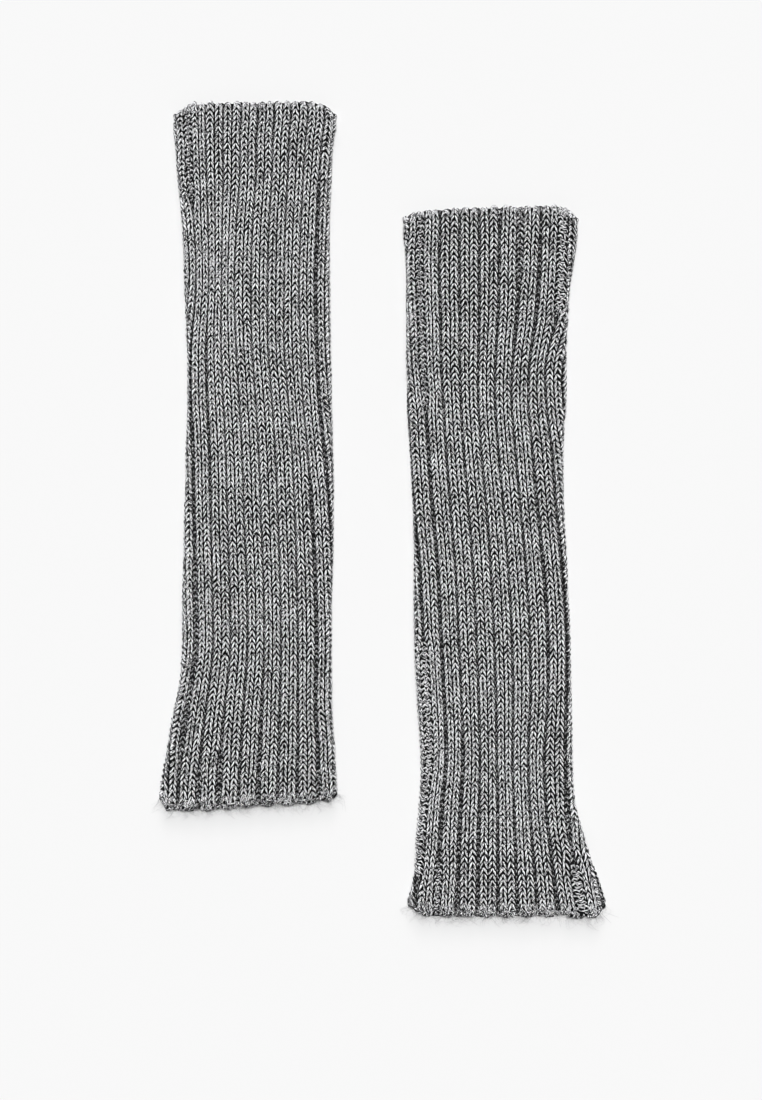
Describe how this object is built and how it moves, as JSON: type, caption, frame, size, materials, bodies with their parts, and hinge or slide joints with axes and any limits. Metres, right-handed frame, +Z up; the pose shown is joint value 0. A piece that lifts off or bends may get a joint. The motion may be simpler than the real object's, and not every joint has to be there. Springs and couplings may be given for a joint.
{
  "type": "pair of long ribbed fingerless mittens",
  "caption": "Long fingerless mittens in soft two-by-two rib knit, laid flat side by side, open at both ends, each with a thumb slit in its side fold.",
  "frame": {"origin": "middle of the pair's underside, on the surface it lies on", "axes": "+Z up, away from the surface; +Y along the mittens towards their finger ends; +X from the left mitten towards the right one"},
  "size_m": [0.2296, 0.4172, 0.008],
  "materials": {
    "knit": "soft grey marled wool, two-by-two rib",
    "band": "soft grey marled wool, cast-on and bind-off chain"
  },
  "bodies": {
    "root": {"left_tube": "knit", "left_finger_band": "band", "left_arm_band": "band", "right_tube": "knit", "right_finger_band": "band", "right_arm_band": "band"}
  },
  "joints": []
}
